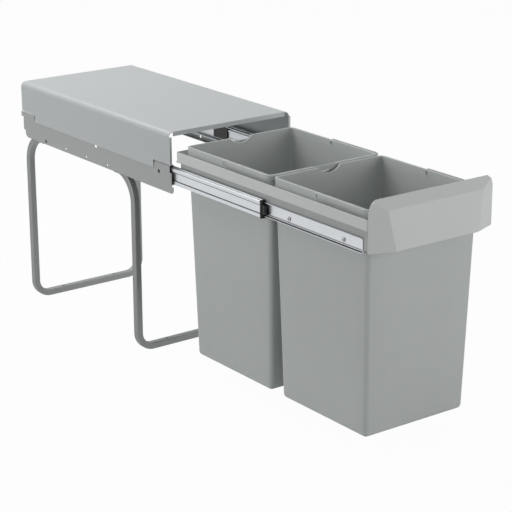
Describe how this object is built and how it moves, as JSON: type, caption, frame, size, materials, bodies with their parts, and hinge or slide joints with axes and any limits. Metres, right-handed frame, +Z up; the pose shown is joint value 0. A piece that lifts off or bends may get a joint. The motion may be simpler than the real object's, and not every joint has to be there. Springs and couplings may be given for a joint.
{
  "type": "pull out trash cabinet",
  "caption": "Pull-out waste unit for a base cabinet: floor-standing tube frame with a sheet cover, full-extension slides, and lift-out bins with bail handles behind a small front panel.",
  "frame": {"origin": "on the floor, in the middle of the four floor screw holes", "axes": "+Z up, the carrier pulls out towards -Y, X across"},
  "size_m": [0.256, 1.0387, 0.432],
  "materials": {
    "canopy_paint": "satin",
    "rail_paint": "satin",
    "tube_paint": "satin",
    "slide_zinc": "bright zinc",
    "ball_steel": "polished",
    "cage_steel": "satin",
    "end_plastic": "matte",
    "buffer_rubber": "matte",
    "carrier_paint": "satin",
    "frame_plastic": "matte",
    "bin_plastic": "matte",
    "bail_plastic": "matte",
    "panel_plastic": "fine matte",
    "screw_zinc": "zinc"
  },
  "bodies": {
    "floor_unit": {"canopy": "canopy_paint", "rail_left": "rail_paint", "rail_right": "rail_paint", "hoop_front": "tube_paint", "hoop_rear": "tube_paint", "slide_outer_left": "slide_zinc", "slide_outer_right": "slide_zinc", "slide_buffer_left": "buffer_rubber", "slide_buffer_right": "buffer_rubber", "slide_rivets": "screw_zinc"},
    "carrier": {"slide_inner_left": "slide_zinc", "slide_inner_right": "slide_zinc", "carrier_rail_left": "carrier_paint", "carrier_rail_right": "carrier_paint", "carrier_screws": "screw_zinc", "bin_frame": "frame_plastic", "frame_screws": "screw_zinc", "front_panel": "panel_plastic", "panel_bracket_left": "carrier_paint", "panel_bracket_right": "carrier_paint", "panel_screws": "screw_zinc"},
    "middle_left": {"slide_middle_left": "slide_zinc", "slide_end_left": "end_plastic", "slide_stop_left": "end_plastic"},
    "outer_cage_left": {"balls_outer_left": "ball_steel", "cage_outer_left": "cage_steel"},
    "inner_cage_left": {"balls_inner_left": "ball_steel", "cage_inner_left": "cage_steel"},
    "middle_right": {"slide_middle_right": "slide_zinc", "slide_end_right": "end_plastic", "slide_stop_right": "end_plastic"},
    "outer_cage_right": {"balls_outer_right": "ball_steel", "cage_outer_right": "cage_steel"},
    "inner_cage_right": {"balls_inner_right": "ball_steel", "cage_inner_right": "cage_steel"},
    "rear_bin": {"bin_rear": "bin_plastic", "handle_pins_rear": "bail_plastic"},
    "rear_bail": {"handle_rear": "bail_plastic"},
    "front_bin": {"bin_front": "bin_plastic", "handle_pins_front": "bail_plastic"},
    "front_bail": {"handle_front": "bail_plastic"}
  },
  "joints": [
    {"name": "carrier_slide", "type": "slide", "parent": "floor_unit", "child": "carrier", "axis": [0, -1, 0], "range_m": [-0.51, 0]},
    {"name": "middle_left_slide", "type": "slide", "parent": "floor_unit", "child": "middle_left", "axis": [0, -1, 0], "range_m": [-0.255, 0]},
    {"name": "outer_cage_left_slide", "type": "slide", "parent": "floor_unit", "child": "outer_cage_left", "axis": [0, -1, 0], "range_m": [-0.1275, 0]},
    {"name": "inner_cage_left_slide", "type": "slide", "parent": "floor_unit", "child": "inner_cage_left", "axis": [0, -1, 0], "range_m": [-0.3825, 0]},
    {"name": "middle_right_slide", "type": "slide", "parent": "floor_unit", "child": "middle_right", "axis": [0, -1, 0], "range_m": [-0.255, 0]},
    {"name": "outer_cage_right_slide", "type": "slide", "parent": "floor_unit", "child": "outer_cage_right", "axis": [0, -1, 0], "range_m": [-0.1275, 0]},
    {"name": "inner_cage_right_slide", "type": "slide", "parent": "floor_unit", "child": "inner_cage_right", "axis": [0, -1, 0], "range_m": [-0.3825, 0]},
    {"name": "rear_bin_lift", "type": "slide", "parent": "carrier", "child": "rear_bin", "axis": [0, 0, 1], "range_m": [0, 0.4]},
    {"name": "rear_bail_swing", "type": "hinge", "parent": "rear_bin", "child": "rear_bail", "pos_m": [0, -0.4465, 0.4082], "axis": [-1, 0, 0], "range_deg": [0, 90]},
    {"name": "front_bin_lift", "type": "slide", "parent": "carrier", "child": "front_bin", "axis": [0, 0, 1], "range_m": [0, 0.4]},
    {"name": "front_bail_swing", "type": "hinge", "parent": "front_bin", "child": "front_bail", "pos_m": [0, -0.6875, 0.4082], "axis": [-1, 0, 0], "range_deg": [0, 90]}
  ],
  "couplings": [
    {"joint": "middle_left_slide", "follows": "carrier_slide", "ratio": 0.5},
    {"joint": "outer_cage_left_slide", "follows": "carrier_slide", "ratio": 0.25},
    {"joint": "inner_cage_left_slide", "follows": "carrier_slide", "ratio": 0.75},
    {"joint": "middle_right_slide", "follows": "carrier_slide", "ratio": 0.5},
    {"joint": "outer_cage_right_slide", "follows": "carrier_slide", "ratio": 0.25},
    {"joint": "inner_cage_right_slide", "follows": "carrier_slide", "ratio": 0.75}
  ]
}
